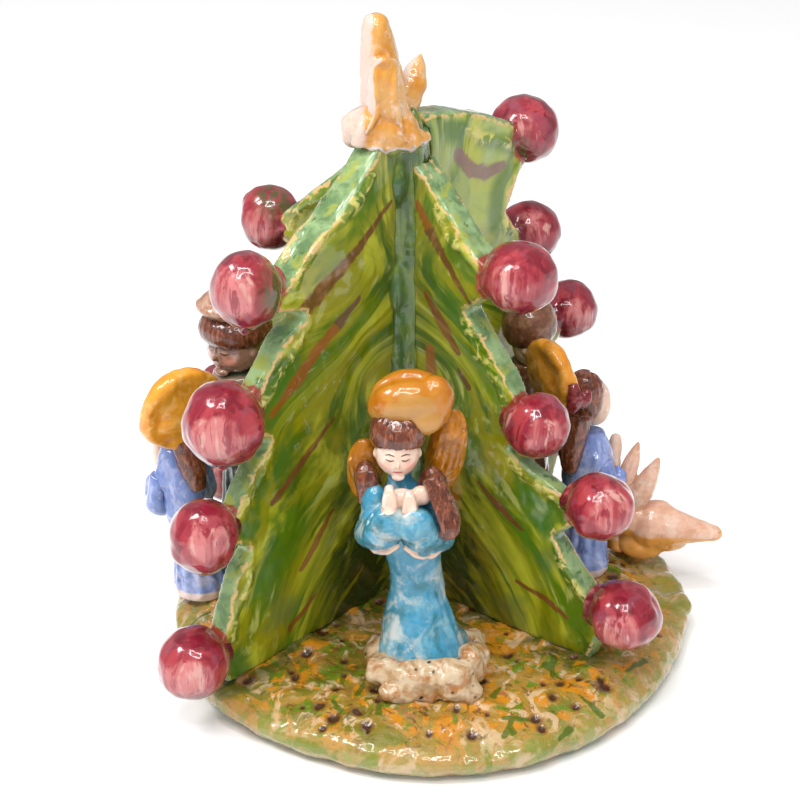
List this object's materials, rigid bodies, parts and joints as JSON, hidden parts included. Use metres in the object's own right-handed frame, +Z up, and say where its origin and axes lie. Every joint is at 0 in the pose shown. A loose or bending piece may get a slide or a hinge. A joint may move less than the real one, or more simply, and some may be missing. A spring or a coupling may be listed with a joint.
{
  "type": "clay tree of life",
  "caption": "Glazed clay tree of stepped crossed slabs on a round base, hung with balls, topped by a star, with an angel, side figures and a donkey.",
  "frame": {"origin": "on the table under the middle of the flat foot of the base", "axes": "+Z up, -Y towards the front corner where the haloed angel stands, +X to the angel's left hand side, where the donkey looks out"},
  "size_m": [0.118, 0.104, 0.1231],
  "materials": {
    "ball_glaze": "gloss",
    "base_glaze": "gloss",
    "blue_glaze": "gloss",
    "bow_glaze": "gloss",
    "donkey_glaze": "gloss",
    "fin_glaze": "gloss",
    "hair_glaze": "gloss",
    "halo_glaze": "gloss",
    "hat_glaze": "gloss",
    "plinth_glaze": "gloss",
    "skin_glaze": "gloss",
    "star_glaze": "gloss",
    "teal_glaze": "gloss",
    "trunk_glaze": "gloss",
    "turquoise_glaze": "gloss",
    "wing_glaze": "gloss"
  },
  "bodies": {
    "root": {"angel_gown": "turquoise_glaze", "angel_hair": "hair_glaze", "angel_halo": "halo_glaze", "angel_hands": "skin_glaze", "angel_head": "skin_glaze", "angel_lock_left": "hair_glaze", "angel_lock_right": "hair_glaze", "angel_plinth": "plinth_glaze", "angel_sleeve_left": "turquoise_glaze", "angel_sleeve_right": "turquoise_glaze", "angel_wing_left": "wing_glaze", "angel_wing_right": "wing_glaze", "ball_back_left_1": "ball_glaze", "ball_back_left_2": "ball_glaze", "ball_back_left_3": "ball_glaze", "ball_back_left_4": "ball_glaze", "ball_back_right_1": "ball_glaze", "ball_back_right_2": "ball_glaze", "ball_back_right_3": "ball_glaze", "ball_back_right_4": "ball_glaze", "ball_front_left_1": "ball_glaze", "ball_front_left_2": "ball_glaze", "ball_front_left_3": "ball_glaze", "ball_front_left_4": "ball_glaze", "ball_front_right_1": "ball_glaze", "ball_front_right_2": "ball_glaze", "ball_front_right_3": "ball_glaze", "ball_front_right_4": "ball_glaze", "base_slab": "base_glaze", "donkey_body": "donkey_glaze", "donkey_ears": "donkey_glaze", "donkey_head": "donkey_glaze", "fin_back_left": "fin_glaze", "fin_back_right": "fin_glaze", "fin_front_left": "fin_glaze", "fin_front_right": "fin_glaze", "left_companion_hair": "hair_glaze", "left_companion_hat": "hat_glaze", "left_companion_head": "skin_glaze", "left_companion_robe": "teal_glaze", "left_saint_gown": "blue_glaze", "left_saint_hair": "hair_glaze", "left_saint_halo": "halo_glaze", "left_saint_hands": "skin_glaze", "left_saint_head": "skin_glaze", "left_saint_sleeves": "blue_glaze", "right_companion_head": "skin_glaze", "right_companion_hood": "hat_glaze", "right_companion_robe": "hat_glaze", "right_saint_bow": "bow_glaze", "right_saint_gown": "blue_glaze", "right_saint_hair": "hair_glaze", "right_saint_halo": "halo_glaze", "right_saint_hands": "skin_glaze", "right_saint_head": "skin_glaze", "right_saint_sleeves": "blue_glaze", "star": "star_glaze", "star_saddle": "star_glaze", "trunk": "trunk_glaze"}
  },
  "joints": []
}
